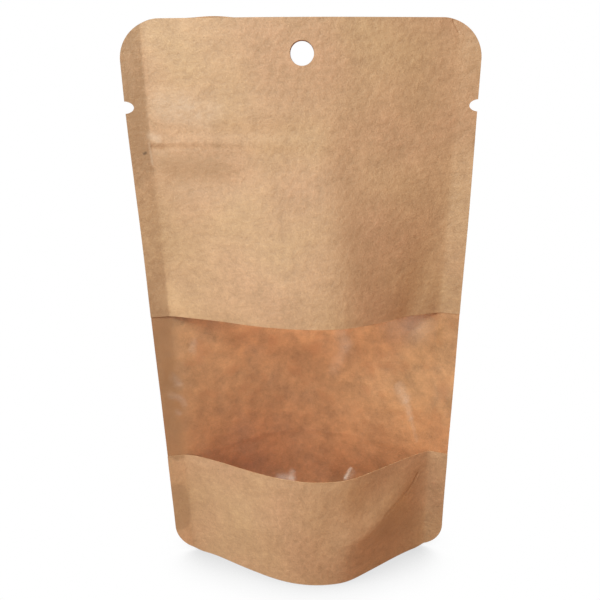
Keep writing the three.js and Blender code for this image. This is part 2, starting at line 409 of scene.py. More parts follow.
# Places on the flat paper as (s, t).
FRONT_STROKES = [
    # the zip's crimped left end and the sunken place below it
    ((-0.0520, 0.1622), (-0.0502, 0.1612), 0.0018, 0.00035),
    ((-0.0450, 0.1480), (-0.0250, 0.1465), 0.0050, -0.00085),
    # paper thrown forward beside the window's upper left corner
    ((-0.0475, 0.1020), (-0.0440, 0.0990), 0.0085, 0.00110),
    # the crown's soft edges, above and below the window
    ((0.0070, 0.1580), (0.0170, 0.1000), 0.0085, 0.00085),
    ((0.0165, 0.0380), (0.0165, 0.0020), 0.0060, 0.00085),
    # the top right corner's fold
    ((0.0496, 0.1985), (0.0552, 0.1929), 0.0018, -0.00030),
]
# Fine creases in the paper's surface as (start, end, half width, height).
FRONT_CREASES = [
    # under the zip's left end
    ((-0.0522, 0.1582), (-0.0490, 0.1578), 0.0024, -0.00022),
    ((-0.0522, 0.1586), (-0.0370, 0.1589), 0.0018, -0.00020),
    ((-0.0370, 0.1589), (-0.0215, 0.1584), 0.0016, -0.00010),
    # along the gusset's seal on the right
    ((0.0476, 0.0335), (0.0457, 0.0303), 0.0012, -0.00030),
    ((0.0457, 0.0303), (0.0421, 0.0276), 0.0014, -0.00030),
    ((0.0421, 0.0276), (0.0332, 0.0240), 0.0013, -0.00022),
    # top right corner
    ((0.0500, 0.1990), (0.0522, 0.1952), 0.0006, -0.00016),
    ((0.0522, 0.1952), (0.0560, 0.1925), 0.0006, 0.00012),
]
# Tints of the front's paper as (start, end, half width, strength): painted shade and painted
# light where its buckles turn from the light and to it, painted highlights on crease edges,
# a painted sheen on smoother paper, and painted shade in a small dimple.
# painted shade where the paper turns from the light
PAINTED_SHADE = [
    ((-0.0475, 0.1530), (-0.0300, 0.1520), 0.0070, 1.0),
    ((0.0330, 0.0170), (0.0440, 0.0120), 0.0120, 1.3),
    ((0.0150, 0.1450), (0.0180, 0.1180), 0.0110, 0.6),
    ((-0.0480, 0.1300), (-0.0440, 0.1420), 0.0180, 0.4),
]
# painted light where the paper turns to the light
PAINTED_LIGHT = [((-0.0520, 0.1060), (-0.0470, 0.1000), 0.0080, 1.0)]
# painted shade in a small dimple by the zip's left end
DIMPLE_SHADE = [((-0.0556, 0.1567), (-0.0550, 0.1570), 0.0008, 1.0)]
# painted highlights where crease edges catch the light
CREASE_HIGHLIGHTS = [
    ((-0.0536, 0.1600), (-0.0533, 0.1530), 0.0007, 1.0),
    ((-0.0528, 0.1624), (-0.0503, 0.1614), 0.0022, 1.0),
]
# smoother paper, with a painted sheen
SMOOTHED_AND_SHEEN = [((-0.0460, 0.1715), (-0.0330, 0.1700), 0.0085, 1.0)]
# The darker, hard-edged patch pressed into the lower left seal.
PATCH = [((-0.0584, 0.0245), (-0.0584, 0.0150), 0.0072, 1.0)]
PATCH_DEPTH = 0.00008
# Painted glints in the film as (start, end, half width, cover): pale cover where its creases would
# catch the light, and a patch of haze.
GLINTS = [
    # down the sheet's crease on the right
    ((0.0369, 0.0722), (0.0402, 0.0665), 0.0034, 0.15),
    ((0.0402, 0.0665), (0.0430, 0.0580), 0.0021, 0.13),
    ((0.0430, 0.0580), (0.0464, 0.0479), 0.0013, 0.07),
    # over the lower band
    ((-0.0110, 0.0420), (-0.0066, 0.0430), 0.0030, 0.09),
    ((-0.0066, 0.0430), (-0.0060, 0.0455), 0.0020, 0.07),
    ((0.0153, 0.0432), (0.0172, 0.0460), 0.0012, 0.26),
    ((0.0160, 0.0425), (0.0180, 0.0440), 0.0024, 0.06),
    # haze under the upper kraft's right half
    ((0.0350, 0.0975), (0.0450, 0.0930), 0.0095, 0.07),
    # dull glints by the left seal
    ((-0.0544, 0.0741), (-0.0526, 0.0717), 0.0030, 0.045),
    ((-0.0559, 0.0672), (-0.0532, 0.0660), 0.0024, 0.04),
    ((-0.0514, 0.0652), (-0.0512, 0.0634), 0.0022, 0.035),
    ((-0.0540, 0.0600), (-0.0534, 0.0596), 0.0018, 0.035),
    ((-0.0452, 0.0859), (-0.0441, 0.0891), 0.0024, 0.03),
    ((0.0127, 0.0982), (0.0150, 0.0928), 0.0040, 0.035),
    ((0.0150, 0.0928), (0.0109, 0.0843), 0.0038, 0.03),
]
BACK_STROKES = [
    ((-0.0100, 0.1500), (0.0060, 0.1000), 0.0070, 0.00040),
    ((0.0300, 0.0600), (0.0460, 0.0900), 0.0060, -0.00060),
    ((-0.0380, 0.0540), (-0.0440, 0.0760), 0.0050, 0.00050),
]


# ---- Modelling helpers ----


def only(*pieces):
    """Selects just these pieces. The first becomes the active one."""
    bpy.ops.object.select_all(action="DESELECT")
    for piece in pieces:
        piece.select_set(True)
    bpy.context.view_layer.objects.active = pieces[0]


def apply(piece, modifier):
    only(piece)
    bpy.ops.object.modifier_apply(modifier=modifier.name)


def flat_sheet(name, reach, low, high, thickness, finishes):
    """A sheet lying in X and Y with its outer face up: s is X and t is Y.
    finishes are the materials of its outer face, its inner face and its rim."""
    cell = bpy.context.scene.pouch_sizes.cell
    bpy.ops.object.select_all(action="DESELECT")
    bpy.ops.mesh.primitive_grid_add(
        x_subdivisions=round(2 * reach / cell),
        y_subdivisions=max(8, round((high - low) / cell)),
        size=1,
    )
    sheet = bpy.context.object
    sheet.name = name
    sheet.data.name = name
    bpy.ops.object.mode_set(mode="EDIT")
    bpy.ops.mesh.select_all(action="SELECT")
    bpy.ops.transform.resize(value=(2 * reach, high - low, 1))
    bpy.ops.transform.translate(value=(0, (low + high) / 2, 0))
    bpy.ops.object.mode_set(mode="OBJECT")
    for finish in finishes:
        sheet.data.materials.append(finish)
    wall = sheet.modifiers.new("wall", "SOLIDIFY")
    wall.thickness = thickness
    wall.offset = -1
    wall.material_offset = 1
    wall.material_offset_rim = 2
    apply(sheet, wall)
    return sheet


def corner_cutter(right, up):
    """What lies outside a rounded corner of the pouch."""
    sizes = bpy.context.scene.pouch_sizes
    form = Form(sizes)
    level, radius = (sizes.height, sizes.top_radius) if up > 0 else (0.0, sizes.bottom_radius)
    drawn_in = float(form.width_share(np.array(level)))
    radius_s = radius / drawn_in
    size = 2 * radius
    corner = (right * (sizes.width / 2 + 0.00003), level + up * 0.00003)
    bpy.ops.mesh.primitive_cube_add(size=1, location=(0, 0, 0))
    block = bpy.context.object
    bpy.ops.object.mode_set(mode="EDIT")
    bpy.ops.mesh.select_all(action="SELECT")
    bpy.ops.transform.resize(value=(size, size, 0.01))
    bpy.ops.transform.translate(
        value=(
            corner[0] + right * (size / 2 - radius_s),
            corner[1] + up * (size / 2 - radius),
            0,
        )
    )
    bpy.ops.object.mode_set(mode="OBJECT")
    bpy.ops.mesh.primitive_cylinder_add(vertices=96, radius=1, depth=0.02)
    round_post = bpy.context.object
    bpy.ops.object.mode_set(mode="EDIT")
    bpy.ops.mesh.select_all(action="SELECT")
    bpy.ops.transform.resize(value=(radius_s, radius, 1))
    bpy.ops.transform.translate(value=(corner[0] - right * radius_s, corner[1] - up * radius, 0))
    bpy.ops.object.mode_set(mode="OBJECT")
    cut(block, round_post)
    return block


def round_cutter(s, t, half_width, half_height):
    bpy.ops.mesh.primitive_cylinder_add(vertices=64, radius=1, depth=0.01)
    post = bpy.context.object
    bpy.ops.object.mode_set(mode="EDIT")
    bpy.ops.mesh.select_all(action="SELECT")
    bpy.ops.transform.resize(value=(half_width, half_height, 1))
    bpy.ops.transform.translate(value=(s, t, 0))
    bpy.ops.object.mode_set(mode="OBJECT")
    return post


def cut(sheet, cutter):
    """Takes the cutter out of the sheet, gives the cut faces the rim's finish, and clears it away."""
    for finish in sheet.data.materials:
        cutter.data.materials.append(finish)
    rim = max(0, len(sheet.data.materials) - 1)
    for face in cutter.data.polygons:
        face.material_index = rim
    hole = sheet.modifiers.new("hole", "BOOLEAN")
    hole.operation = "DIFFERENCE"
    hole.solver = "EXACT"
    hole.object = cutter
    apply(sheet, hole)
    bpy.data.objects.remove(cutter, do_unlink=True)


def places(piece):
    flat = np.empty(len(piece.data.vertices) * 3, np.float32)
    piece.data.vertices.foreach_get("co", flat)
    return flat.reshape(-1, 3).astype(float)


def write_places(piece, co):
    piece.data.vertices.foreach_set("co", co.astype(np.float32).ravel())
    piece.data.update()


def remember_flat(piece, s, t, depth):
    """Keeps each point's place on the flat sheet, which the paper's pattern follows."""
    kept = piece.data.attributes.new("flat", "FLOAT_VECTOR", "POINT")
    kept.data.foreach_set("vector", np.column_stack([s, t, depth]).astype(np.float32).ravel())


def fill_out(sheet, form, web, inwards=0.0):
    """Bends a flat sheet into its web. inwards is how deep it lies under the outer face."""
    co = places(sheet)
    s, t = -web.outward * co[:, 0], co[:, 1]
    depth = inwards - co[:, 2]
    remember_flat(sheet, s, t, depth)
    placed = form.put(s, web.outward * (form.stand_out(web, s, t) - depth), t)
    where, half, height = web.lip
    top = form.sizes.height
    placed[:, 2] += height * np.exp(-(((s - where) / half) ** 2)) * smoothstep(t, top - 0.01, top)
    write_places(sheet, placed)


def finish_piece(piece, nodes, angle=40):
    only(piece)
    bpy.ops.object.shade_smooth_by_angle(angle=math.radians(angle))
    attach(piece, "root")
    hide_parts(*nodes)


# ---- Shader helpers ----


class Signal:
    """A shader socket that takes part in sums. Each sum adds its Math node."""

    def __init__(self, shader, socket):
        self.shader = shader
        self.socket = socket

    def _math(self, operation, *values):
        return self.shader.add("ShaderNodeMath", {"operation": operation}, values)

    def __add__(self, other):
        return self._math("ADD", self, other)

    def __sub__(self, other):
        return self._math("SUBTRACT", self, other)

    def __rsub__(self, other):
        return self._math("SUBTRACT", other, self)

    def __mul__(self, other):
        return self._math("MULTIPLY", self, other)

    def __truediv__(self, other):
        return self._math("DIVIDE", self, other)

    def __abs__(self):
        return self._math("ABSOLUTE", self)

    __radd__ = __add__
    __rmul__ = __mul__

    def ramp(self, low, high):
        """0 below low, 1 above high and smooth between. It falls where low is above high."""
        settings = {"interpolation_type": "SMOOTHSTEP"}
        if low < high:
            values = (self, low, high, 0.0, 1.0)
        else:
            values = (self, high, low, 1.0, 0.0)
        return self.shader.add("ShaderNodeMapRange", settings, values)


class Shader:
    """A material and the nodes that are added to it."""

    def __init__(self, name):
        self.material = bpy.data.materials.new(name)
        self.material.use_nodes = True
        self.tree = self.material.node_tree
        self.tree.nodes.clear()

    def add(self, kind, settings=None, values=(), output=0):
        """Adds a node. values fill its inputs in order, or by name where they are a dict."""
        node = self.tree.nodes.new(kind)
        for name, value in (settings or {}).items():
            setattr(node, name, value)
        pairs = values.items() if isinstance(values, dict) else enumerate(values)
        for key, value in pairs:
            if isinstance(value, Signal):
                self.tree.links.new(value.socket, node.inputs[key])
            elif value is not None:
                node.inputs[key].default_value = value
        return Signal(self, node.outputs[output])

    def flat(self):
        """The place on the flat sheet."""
        return self.add("ShaderNodeAttribute", {"attribute_name": "flat"}, output="Vector")

    def parts(self, vector):
        node = self.tree.nodes.new("ShaderNodeSeparateXYZ")
        self.tree.links.new(vector.socket, node.inputs[0])
        return [Signal(self, socket) for socket in node.outputs]

    def near_line(self, s, t, start, end, half):
        """1 on the line from start to end, falling to 0 at that distance from it."""
        ds, dt = end[0] - start[0], end[1] - start[1]
        along = ((s - start[0]) * ds + (t - start[1]) * dt) / (ds * ds + dt * dt)
        along = self.add("ShaderNodeClamp", None, (along, 0.0, 1.0))
        off_s, off_t = s - start[0] - along * ds, t - start[1] - along * dt
        square = off_s * off_s + off_t * off_t
        return self.add("ShaderNodeMath", {"operation": "SQRT"}, (square,)).ramp(half, 0.0)

    def strokes(self, s, t, marks):
        """The sum of marks, each (start, end, half width, strength)."""
        return sum(self.near_line(s, t, start, end, half) * by for start, end, half, by in marks)

    def noise(self, vector, size, detail=2.0, roughness=0.5):
        """Noise from 0 to 1 with features of that size in metres."""
        values = {"Vector": vector, "Scale": 1 / size, "Detail": detail, "Roughness": roughness}
        return self.add("ShaderNodeTexNoise", None, values)

    def turned(self, vector, angle, stretch):
        """The vector turned in the sheet and stretched, so that a pattern on it has a grain."""
        return self.add(
            "ShaderNodeMapping",
            {"vector_type": "TEXTURE"},
            {"Vector": vector, "Rotation": (0, 0, angle), "Scale": (1.0, 1 / stretch, 1.0)},
        )

    def strands(self, vector, angle, size, share):
        """Short scattered strands lying at that angle: 1 on a strand."""
        values = {"Vector": self.turned(vector, math.radians(angle), 3.0), "Scale": 1 / size}
        return self.add("ShaderNodeTexVoronoi", None, values).ramp(share, share * 0.5)

    def blend(self, share, first, second):
        """Mix of two colours, which are tuples or signals."""
        node = self.tree.nodes.new("ShaderNodeMix")
        node.data_type = "RGBA"
        for key, value in ((0, share), (6, first), (7, second)):
            if isinstance(value, Signal):
                self.tree.links.new(value.socket, node.inputs[key])
            elif isinstance(value, float):
                node.inputs[key].default_value = value
            else:
                node.inputs[key].default_value = (*value, 1.0)
        return Signal(self, node.outputs[2])

    def bump(self, height, distance, strength=1.0, normal=None):
        values = {"Strength": strength, "Distance": distance, "Height": height, "Normal": normal}
        return self.add("ShaderNodeBump", None, values)

    def principled(self, values):
        return self.add("ShaderNodeBsdfPrincipled", None, values)

    def show(self, surface):
        output = self.tree.nodes.new("ShaderNodeOutputMaterial")
        self.tree.links.new(surface.socket, output.inputs["Surface"])
        return self.material


def shade(colour, by):
    return tuple(channel * by for channel in colour)


def paper_grain(shader, flat):
    """Fine fibres lying this way and that, from 0 to 1, and the grain between them."""
    lain = [
        shader.noise(shader.turned(flat, math.radians(angle), 4.0), size, 1.0)
        for angle, size in ((12, 0.0021), (-38, 0.0019), (68, 0.0020), (112, 0.0018))
    ]
    fibres = (lain[0] + lain[1] + lain[2] + lain[3]) / 4.0
    return fibres, shader.noise(flat, 0.00060, 2.0, 0.6)


def front_marks(shader, colours, base, clouds):
    """The front's tints, most of them painted shade and light, and its creases: (base colour, creases,
    smoother places with painted sheen).
    """
    s, t, _ = shader.parts(shader.flat())
    patch = shader.strokes(s, t, PATCH).ramp(0.0, 0.25)
    smoothed_and_sheen = shader.strokes(s, t, SMOOTHED_AND_SHEEN) * clouds.ramp(0.25, 0.6)
    tints = [
        (patch * 0.50, shade(colours.kraft_dark, 0.85)),
        # painted shade
        (shader.strokes(s, t, PAINTED_SHADE) * 0.44, colours.kraft_dark),
        # painted light
        (shader.strokes(s, t, PAINTED_LIGHT) * 0.22, shade(colours.kraft, 1.25)),
        # painted shade in a small dimple
        (shader.strokes(s, t, DIMPLE_SHADE) * 0.8, shade(colours.kraft_dark, 0.3)),
        # painted highlights on crease edges
        (shader.strokes(s, t, CREASE_HIGHLIGHTS) * 0.30, shade(colours.kraft_highlight, 1.1)),
        # painted sheen on the smoother paper
        (smoothed_and_sheen * 0.35, colours.kraft_highlight),
    ]
    for share, tint in tints:
        base = shader.blend(share, base, tint)
    return base, shader.strokes(s, t, FRONT_CREASES) - patch * PATCH_DEPTH, smoothed_and_sheen


def left_seal_shade(s, t):
    """Painted shade on the front's left seal, by height, turning to painted light near its foot."""
    sealed = 0.16 + t.ramp(0.145, 0.158) * 0.24 + t.ramp(0.120, 0.098) * 0.60
    return s.ramp(-0.0526, -0.0536) * (sealed - t.ramp(0.046, 0.036) * 1.06)


def kraft_finish(colours, name, front):
    """Outside of the kraft: matt brown paper with fibres, flecks and pressed seals, and on the front
    its painted shade and light.
    """
    shader = Shader(name)
    flat = shader.flat()
    s, t, _ = shader.parts(flat)
    fibres, grain = paper_grain(shader, flat)
    drift = shader.noise(flat, 0.034, 1.0)
    clouds = shader.noise(flat, 0.0120, 3.0, 0.55)
    blots = shader.noise(flat, 0.0046, 2.0, 0.5)
    mottle = shader.noise(flat, 0.0022, 2.0, 0.6)
    tone = 0.52 + (fibres - 0.5) * 1.6 + (grain - 0.5) * 0.35 + (mottle - 0.5) * 0.9
    tone = tone + (blots - 0.5) * 0.65 + (clouds - 0.5) * 0.85 + (drift - 0.5) * 0.5
    pressed = abs(s).ramp(0.0528, 0.0534)
    # the front's left seal gets painted shade, and painted light near its foot
    tone = tone - pressed * 0.05 - (left_seal_shade(s, t) if front else pressed * 0.10)
    light = shader.blend(drift.ramp(0.25, 0.75), colours.kraft_rosy, colours.kraft)
    base = shader.blend(tone, colours.kraft_dark, light)
    for angle in (18, -47, 81):
        strands = shader.strands(flat, angle, 0.0030, 0.15)
        base = shader.blend(strands * 0.24, base, shade(colours.kraft, 1.30))
    specks = shader.strands(flat, 35, 0.0052, 0.07)
    base = shader.blend(specks * 0.45, base, shade(colours.kraft_dark, 0.55))
    rough = 0.66 + (mottle - 0.5) * 0.2 - pressed * 0.06
    relief = shader.bump(fibres + grain * 0.5, 0.00010)
    relief = shader.bump(mottle + clouds, 0.00030, 1.0, relief)
    if front:
        base, creases, smoothed_and_sheen = front_marks(shader, colours, base, clouds)
        rough = rough - smoothed_and_sheen * 0.14
        relief = shader.bump(creases, 1.0, 1.0, relief)
    surface = shader.principled(
        {
            "Base Color": base,
            "Roughness": rough,
            "IOR": 1.45,
            "Sheen Weight": 0.12,
            "Sheen Roughness": 0.5,
            "Normal": relief,
        }
    )
    return shader.show(surface)


def lining_finish(colours):
    """Inside of the kraft: the brown paper under its glossy clear lining."""
    shader = Shader("lined_kraft")
    flat = shader.flat()
    s, t, _ = shader.parts(flat)
    fibres, grain = paper_grain(shader, flat)
    clouds = shader.noise(flat, 0.0130, 4.0, 0.62)
    blots = shader.noise(flat, 0.0052, 3.0, 0.6)
    ruddy = shader.noise(flat, 0.0100, 3.0, 0.55)
    tone = 0.5 + (clouds - 0.5) * 2.2 + (blots - 0.5) * 1.5 + (fibres - 0.5) * 1.6
    base = shader.blend(tone, shade(colours.lining, 0.76), shade(colours.lining, 1.24))
    base = shader.blend(ruddy.ramp(0.50, 0.70) * 0.45, base, colours.lining_ruddy)
    deep = shader.blend(tone, shade(colours.lining_ruddy, 0.92), shade(colours.lining_ruddy, 1.38))
    base = shader.blend(t.ramp(0.070, 0.035) * 0.7, base, deep)
    # painted shade towards the left seal, where the inside turns from the light
    base = shader.blend(s.ramp(-0.0470, -0.0560) * 0.75, base, shade(colours.lining, 0.62))
    relief = shader.bump(clouds + blots * 0.5, 0.0004)
    relief = shader.bump(grain, 0.00003, 1.0, relief)
    surface = shader.principled(
        {
            "Base Color": base,
            "Roughness": 0.48 + (blots - 0.5) * 0.2,
            "IOR": 1.45,
            "Normal": relief,
        }
    )
    return shader.show(surface)


def cut_edge_finish(colours):
    """The pale cut edge of the paper and its lining."""
    shader = Shader("kraft_cut_edge")
    grain = shader.noise(shader.flat(), 0.0006, 2.0)
    base = shader.blend(grain, shade(colours.kraft, 1.0), shade(colours.kraft, 1.35))
    return shader.show(shader.principled({"Base Color": base, "Roughness": 0.7}))


def film_finish(colours):
    """Clear film: nearly all see-through, with a faint haze and painted glints, pale cover along its
    creases.
    """
    shader = Shader("window_film")
    flat = shader.flat()
    s, t, _ = shader.parts(flat)
    haze = shader.noise(flat, 0.016, 3.0, 0.6)
    smears = shader.noise(shader.turned(flat, math.radians(12), 3.0), 0.005, 2.0, 0.6)
    cover = 0.010 + haze.ramp(0.45, 0.8) * 0.012
    glints = shader.strokes(s, t, GLINTS)
    cover = cover + glints * (0.75 + smears.ramp(0.35, 0.65) * 0.4)
    relief = shader.bump(haze + smears * 0.4, 0.0005)
    surface = shader.principled(
        {
            "Base Color": (*colours.film, 1.0),
            "Roughness": 0.22,
            "IOR": 1.5,
            "Alpha": cover,
            "Normal": relief,
        }
    )
    return shader.show(surface)


def zip_finish(colours):
    """Milky, slightly glossy plastic."""
    shader = Shader("zip_plastic")
    flat = shader.flat()
    clouds = shader.noise(flat, 0.006, 2.0)
    base = shader.blend(clouds, shade(colours.zip_plastic, 0.92), shade(colours.zip_plastic, 1.05))
    relief = shader.bump(shader.noise(flat, 0.0012, 2.0), 0.00005)
    values = {
        "Base Color": base,
        "Roughness": 0.3 + (clouds - 0.5) * 0.1,
        "Subsurface Weight": 0.15,
        "Normal": relief,
    }
    return shader.show(shader.principled(values))


def floor_finish(colours):
    """Pale studio floor: the camera sees it evenly lit, with a painted soft shadow under the pouch,
    and its warm bounce lights the pouch from below."""
    shader = Shader("studio_floor")
    # painted contact shadow: ambient occlusion darkens the floor that the camera sees under the pouch
    near = shader.add("ShaderNodeAmbientOcclusion", {"samples": 8}, {"Distance": 0.03}, "AO")
    seen = shader.blend(near.ramp(0.25, 0.85), shade(colours.floor, 0.72), (1.0, 1.0, 1.0))
    seen = shader.add("ShaderNodeEmission", None, {"Color": seen, "Strength": 1.0})
    grain = shader.noise(shader.add("ShaderNodeTexCoord", output="Object"), 0.2, 2.0)
    base = shader.blend(grain, shade(colours.floor_bounce, 0.97), colours.floor_bounce)
    lit = shader.principled({"Base Color": base, "Roughness": 0.8})
    camera = shader.add("ShaderNodeLightPath", output="Is Camera Ray")
    return shader.show(shader.add("ShaderNodeMixShader", None, (camera, lit, seen)))


def kraft_finishes(front=False):
    """The finishes of a kraft sheet's outer face, inner face and rim, each made once."""
    colours = bpy.context.scene.pouch_colours
    made = bpy.data.materials.get
    outer = "kraft_paper_front" if front else "kraft_paper"
    return [
        made(outer) or kraft_finish(colours, outer, front),
        made("lined_kraft") or lining_finish(colours),
        made("kraft_cut_edge") or cut_edge_finish(colours),
    ]


# ---- The pieces ----


def cut_top(sheet, sizes):
    for right in (-1, 1):
        cut(sheet, corner_cutter(right, 1))
        edge = right * (sizes.width / 2 + 0.0004)
        height = sizes.notch_half_height
        cut(sheet, round_cutter(edge, sizes.notch_height, sizes.notch_depth + 0.0004, height))
    cut(sheet, round_cutter(0, sizes.hole_height, sizes.hole_radius, sizes.hole_radius))


def cut_bottom(sheet):
    for right in (-1, 1):
        cut(sheet, corner_cutter(right, -1))


class POUCH_OT_front_kraft(bpy.types.Operator):
    """Makes the two kraft sheets of the front web, above and below the window"""

    bl_idname = "pouch.front_kraft"
    bl_label = "Front kraft"

    def execute(self, context):
        sizes = context.scene.pouch_sizes
        form = Form(sizes)
        half, finishes = sizes.width / 2, kraft_finishes(front=True)
        upper = flat_sheet(
            "front_kraft_upper", half, sizes.window_top, sizes.height, sizes.paper, finishes
        )
        cut_top(upper, sizes)
        lower = flat_sheet("front_kraft_lower", half, 0.0, sizes.window_bottom, sizes.paper, finishes)
        cut_bottom(lower)
        for sheet, node in ((upper, "front_upper"), (lower, "front_lower")):
            fill_out(sheet, form, form.front)
            finish_piece(sheet, [node])
        return {"FINISHED"}


class POUCH_OT_window_film(bpy.types.Operator):
    """Makes the clear film that shows in the window and runs on behind the kraft's edges"""

    bl_idname = "pouch.window_film"
    bl_label = "Window film"

    def execute(self, context):
        sizes = context.scene.pouch_sizes
        form = Form(sizes)
        clear = film_finish(context.scene.pouch_colours)
        overlap = 0.003
        film = flat_sheet(
            "window_film_clear",
            sizes.width / 2 - 0.0002,
            sizes.window_bottom - overlap,
            sizes.window_top + overlap,
            sizes.film,
            [clear, clear, clear],
        )
        fill_out(film, form, form.front, sizes.paper + GAP / 2)
        finish_piece(film, ["window_film"])
        return {"FINISHED"}


class POUCH_OT_back_kraft(bpy.types.Operator):
    """Makes the back web, kraft from top to bottom"""

    bl_idname = "pouch.back_kraft"
    bl_label = "Back kraft"

    def execute(self, context):
        sizes = context.scene.pouch_sizes
        form = Form(sizes)
        back = flat_sheet(
            "back_kraft", sizes.width / 2, 0.0, sizes.height, sizes.paper, kraft_finishes()
        )
        cut_top(back, sizes)
        cut_bottom(back)
        fill_out(back, form, form.back)
        finish_piece(back, ["back_panel"])
        return {"FINISHED"}


class POUCH_OT_gusset(bpy.types.Operator):
    """Makes the bottom gusset, sealed inside both webs and opened between them"""

    bl_idname = "pouch.gusset"
    bl_label = "Bottom gusset"

    SLACK = 0.95  # straight length of an opened leaf, as a share of its paper
    ARCH = 1.6  # roundness of its fold

    def path(self, form, s, u):
        """Y and height of the sheet's middle, u along it from the front edge to the back."""
        sizes = form.sizes
        depth = sizes.gusset_depth
        leaf = np.minimum(u, 2 * depth - u)
        seal = form.gusset_seal(s)
        y, z = np.zeros_like(s), np.zeros_like(s)
        for web, here in ((form.front, u <= depth), (form.back, u > depth)):
            under = 1.5 * sizes.paper + GAP + (web.under + GAP if web.under else 0.0)
            sealed = web.outward * (form.stand_out(web, s, leaf) - under)
            foot = web.outward * (form.stand_out(web, s, seal) - under)
            straight = self.SLACK * (depth - seal)
            rise = np.sqrt(np.maximum(straight**2 - foot**2, 0))
            away = np.clip((depth - leaf) / np.maximum(depth - seal, 0.0005), 0, 1)
            free = leaf > seal
            y = np.where(here, np.where(free, foot * away, sealed), y)
            arch = seal + rise * (1 - away**self.ARCH)
            z = np.where(here, np.where(free, arch, leaf), z)
        return y, z

    def execute(self, context):
        sizes = context.scene.pouch_sizes
        form = Form(sizes)
        gusset = flat_sheet(
            "gusset_kraft",
            sizes.width / 2,
            0.0,
            2 * sizes.gusset_depth,
            sizes.paper,
            kraft_finishes(),
        )
        cut_bottom(gusset)
        for right in (-1, 1):
            cutter = corner_cutter(right, -1)
            only(cutter)
            bpy.ops.object.mode_set(mode="EDIT")
            bpy.ops.mesh.select_all(action="SELECT")
            bpy.ops.transform.mirror(
                constraint_axis=(False, True, False), center_override=(0, sizes.gusset_depth, 0)
            )
            bpy.ops.mesh.normals_make_consistent(inside=False)
            bpy.ops.object.mode_set(mode="OBJECT")
            cut(gusset, cutter)
        co = places(gusset)
        s, u, depth = co[:, 0], co[:, 1], -co[:, 2]
        remember_flat(gusset, s, u, depth)
        step = 0.0004
        y, z = self.path(form, s, u)
        y_from, z_from = self.path(form, s, np.maximum(u - step, 0))
        y_to, z_to = self.path(form, s, np.minimum(u + step, 2 * sizes.gusset_depth))
        along = np.hypot(y_to - y_from, z_to - z_from).clip(1e-9)
        off = depth - sizes.paper / 2
        y = y - off * (z_to - z_from) / along
        z = np.maximum(z + off * (y_to - y_from) / along, 0)
        write_places(gusset, form.put(s, y, z))
        finish_piece(gusset, ["bottom_gusset"])
        return {"FINISHED"}


class POUCH_OT_zip(bpy.types.Operator):
    """Makes the two strips of the press-to-close zip, hooks in front and bead behind"""

    bl_idname = "pouch.zip"
    bl_label = "Zip strips"

    FLANGE = 0.00020
    # Ribs on a strip's inner face as (low, high, how far out), from the strip's middle line.
    # The hooks turn in over the groove between them, and the bead's head is wider than its neck.
    HOOKS = [(0.0013, 0.0021, 0.0009), (-0.0021, -0.0013, 0.0009)]
    BEAD = [(-0.0004, 0.0004, 0.0009)]
    NECK, HEAD, CAP = 0.6, 0.1, 0.3  # shares of a rib's height
    HOOK_SPREAD, BEAD_SPREAD, CAP_SPREAD = 1.6, 1.7, 0.7  # how much wider each part grows
    TURN_IN = 0.0005  # how far beyond a hook's middle its head is spread from

    def strip(self, name, sizes, ribs, plastic):
        """A flat strip with its ribs drawn out of its inner face, which looks down."""
        low, high = -0.006, 0.008
        strip = flat_sheet(name, sizes.zip_reach, low, high, self.FLANGE, [plastic] * 3)
        co = places(strip)
        rows = sorted({round(float(y), 5) for y in co[:, 1]})
        edges = sorted(edge for low_edge, high_edge, _ in ribs for edge in (low_edge, high_edge))
        for edge in edges:
            nearest = min(rows, key=lambda row: abs(row - edge))
            rows.remove(nearest)
            co[np.abs(co[:, 1] - nearest) < 1e-5, 1] = edge
        write_places(strip, co)
        for low_edge, high_edge, raised in ribs:
            only(strip)
            bpy.ops.object.mode_set(mode="EDIT")
            bpy.ops.mesh.select_mode(type="FACE")
            bpy.ops.mesh.select_all(action="DESELECT")
            bpy.ops.object.mode_set(mode="OBJECT")
            for face in strip.data.polygons:
                inside = low_edge < face.center.y < high_edge
                face.select = bool(inside and face.normal.z < -0.5)
            bpy.ops.object.mode_set(mode="EDIT")
            middle = (low_edge + high_edge) / 2
            hooked = len(ribs) > 1
            spread = self.HOOK_SPREAD if hooked else self.BEAD_SPREAD
            fixed = middle + math.copysign(self.TURN_IN, middle) if hooked else middle
            for share, wider, about in (
                (self.NECK, 1, middle),
                (self.HEAD, spread, fixed),
                (self.CAP, self.CAP_SPREAD, middle),
            ):
                bpy.ops.mesh.extrude_region_move(
                    TRANSFORM_OT_translate={"value": (0, 0, -raised * share)}
                )
                if wider != 1:
                    bpy.ops.transform.resize(value=(1, wider, 1), center_override=(0, about, 0))
            bpy.ops.object.mode_set(mode="OBJECT")
        return strip

    def execute(self, context):
        sizes = context.scene.pouch_sizes
        form = Form(sizes)
        plastic = zip_finish(context.scene.pouch_colours)
        for web, ribs, side in ((form.front, self.HOOKS, "front"), (form.back, self.BEAD, "back")):
            strip = self.strip(f"zip_strip_{side}", sizes, ribs, plastic)
            co = places(strip)
            s, up = -web.outward * co[:, 0], co[:, 1]
            crimp = 1 - 0.85 * smoothstep(np.abs(s), sizes.zip_reach - 0.009, sizes.zip_reach - 0.003)
            rib = np.maximum(-co[:, 2] - self.FLANGE, 0) * crimp
            depth = np.minimum(-co[:, 2], self.FLANGE) + rib
            remember_flat(strip, s, up, depth)
            t = up + sizes.zip_height
            out = form.stand_out(web, s, t) - sizes.paper - GAP - depth
            write_places(strip, form.put(s, web.outward * out, t))
            finish_piece(strip, [f"zip_{side}"], 35)
        return {"FINISHED"}


